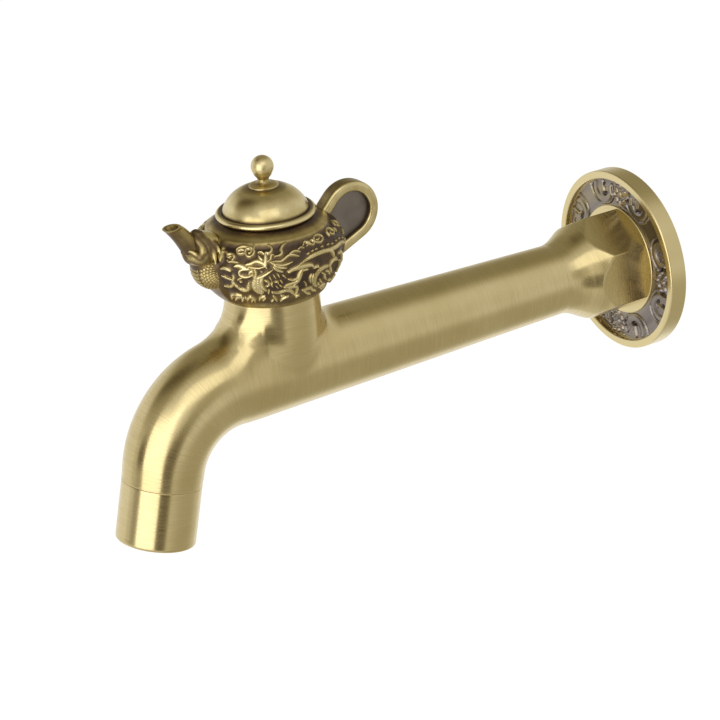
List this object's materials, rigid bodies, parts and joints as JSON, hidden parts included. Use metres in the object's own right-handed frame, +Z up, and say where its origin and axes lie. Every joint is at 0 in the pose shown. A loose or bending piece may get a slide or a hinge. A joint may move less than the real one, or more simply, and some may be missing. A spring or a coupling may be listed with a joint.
{
  "type": "wall bib tap",
  "caption": "Long wall-mounted brass bib tap with a quarter-turn handle shaped as a small teapot, round relief wall plate and curved spout with an aerator.",
  "frame": {"origin": "centre of the wall plate's wall face, on the axis of the inlet thread", "axes": "+Z up, +Y into the wall along the inlet thread, so the barrel runs out along -Y; +X to the right of someone who faces the wall"},
  "size_m": [0.06, 0.2075, 0.1161],
  "materials": {
    "brushed_brass": "satin brushed, antique lacquer",
    "rosette_brass": "polished rim, dark patina in the relief",
    "antique_brass": "relief with dark patina, polished high points",
    "turned_brass": "plain machined",
    "disc_ceramic": "lapped",
    "black_rubber": "matt",
    "steel": "plain",
    "white_plastic": "moulded"
  },
  "bodies": {
    "root": {"tap_body": "brushed_brass", "wall_rosette": "rosette_brass", "aerator_housing": "brushed_brass", "aerator_washer": "black_rubber", "aerator_insert": "white_plastic", "aerator_screen": "steel", "headwork_body": "turned_brass", "headwork_o_ring": "black_rubber", "seat_seal": "black_rubber", "fixed_ceramic_disc": "disc_ceramic"},
    "handle": {"moving_ceramic_disc": "disc_ceramic", "spindle": "turned_brass", "spindle_o_rings": "black_rubber", "thrust_washer": "white_plastic", "retaining_clip": "steel", "teapot_casting": "antique_brass", "spline_bush": "white_plastic", "handle_screw": "steel", "screw_washer": "steel", "teapot_lid": "antique_brass", "lid_finial": "antique_brass"}
  },
  "joints": [
    {"name": "handle_turn", "type": "hinge", "parent": "root", "child": "handle", "pos_m": [0, -0.1367, 0], "axis": [0, 0, 1], "range_deg": [0, 90]}
  ]
}
